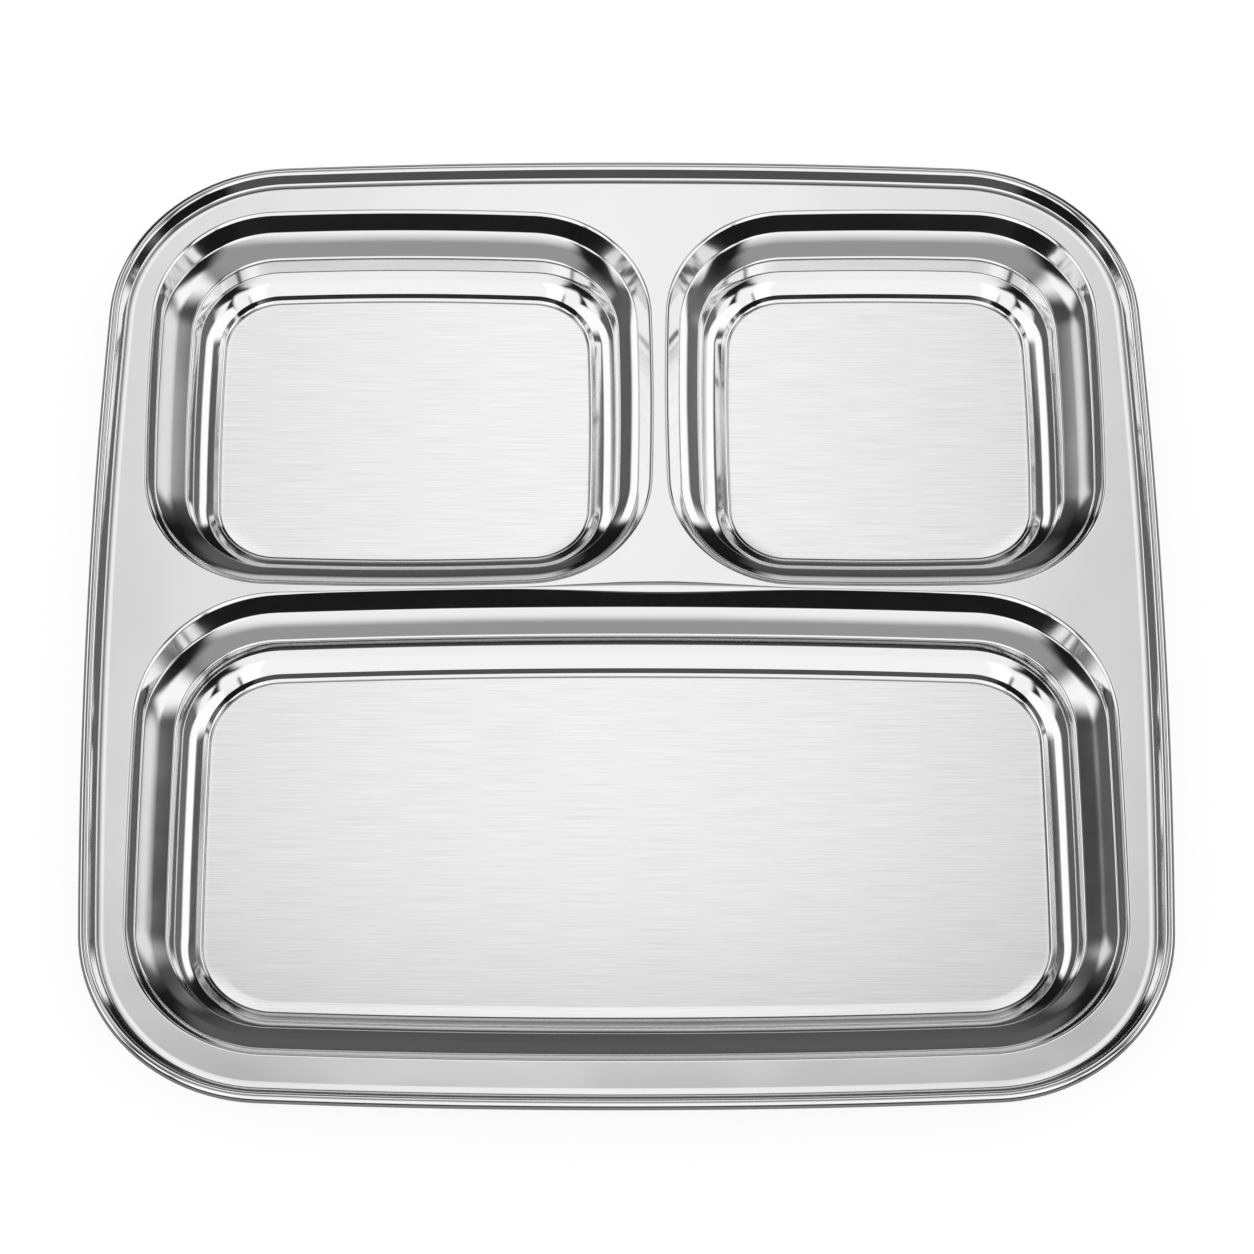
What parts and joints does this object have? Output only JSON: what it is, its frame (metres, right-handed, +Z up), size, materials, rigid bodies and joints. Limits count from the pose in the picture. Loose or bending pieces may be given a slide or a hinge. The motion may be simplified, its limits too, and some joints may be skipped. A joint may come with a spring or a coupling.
{
  "type": "compartment tray",
  "caption": "Pressed stainless serving tray: a wide compartment in front, smaller ones behind, stepped walls, flat flange and a rolled wire edge.",
  "frame": {"origin": "under the middle of the tray, on the plane that the compartment floors stand on", "axes": "+Z up, +X to the right, +Y to the back, where the two small compartments lie"},
  "size_m": [0.2604, 0.26, 0.0192],
  "materials": {
    "polished_stainless": "mirror-polished walls, flange and rim, satin-brushed compartment floors",
    "drawn_wire": "bright drawn steel wire"
  },
  "bodies": {
    "root": {"pressed_tray": "polished_stainless", "rim_wire": "drawn_wire"}
  },
  "joints": []
}
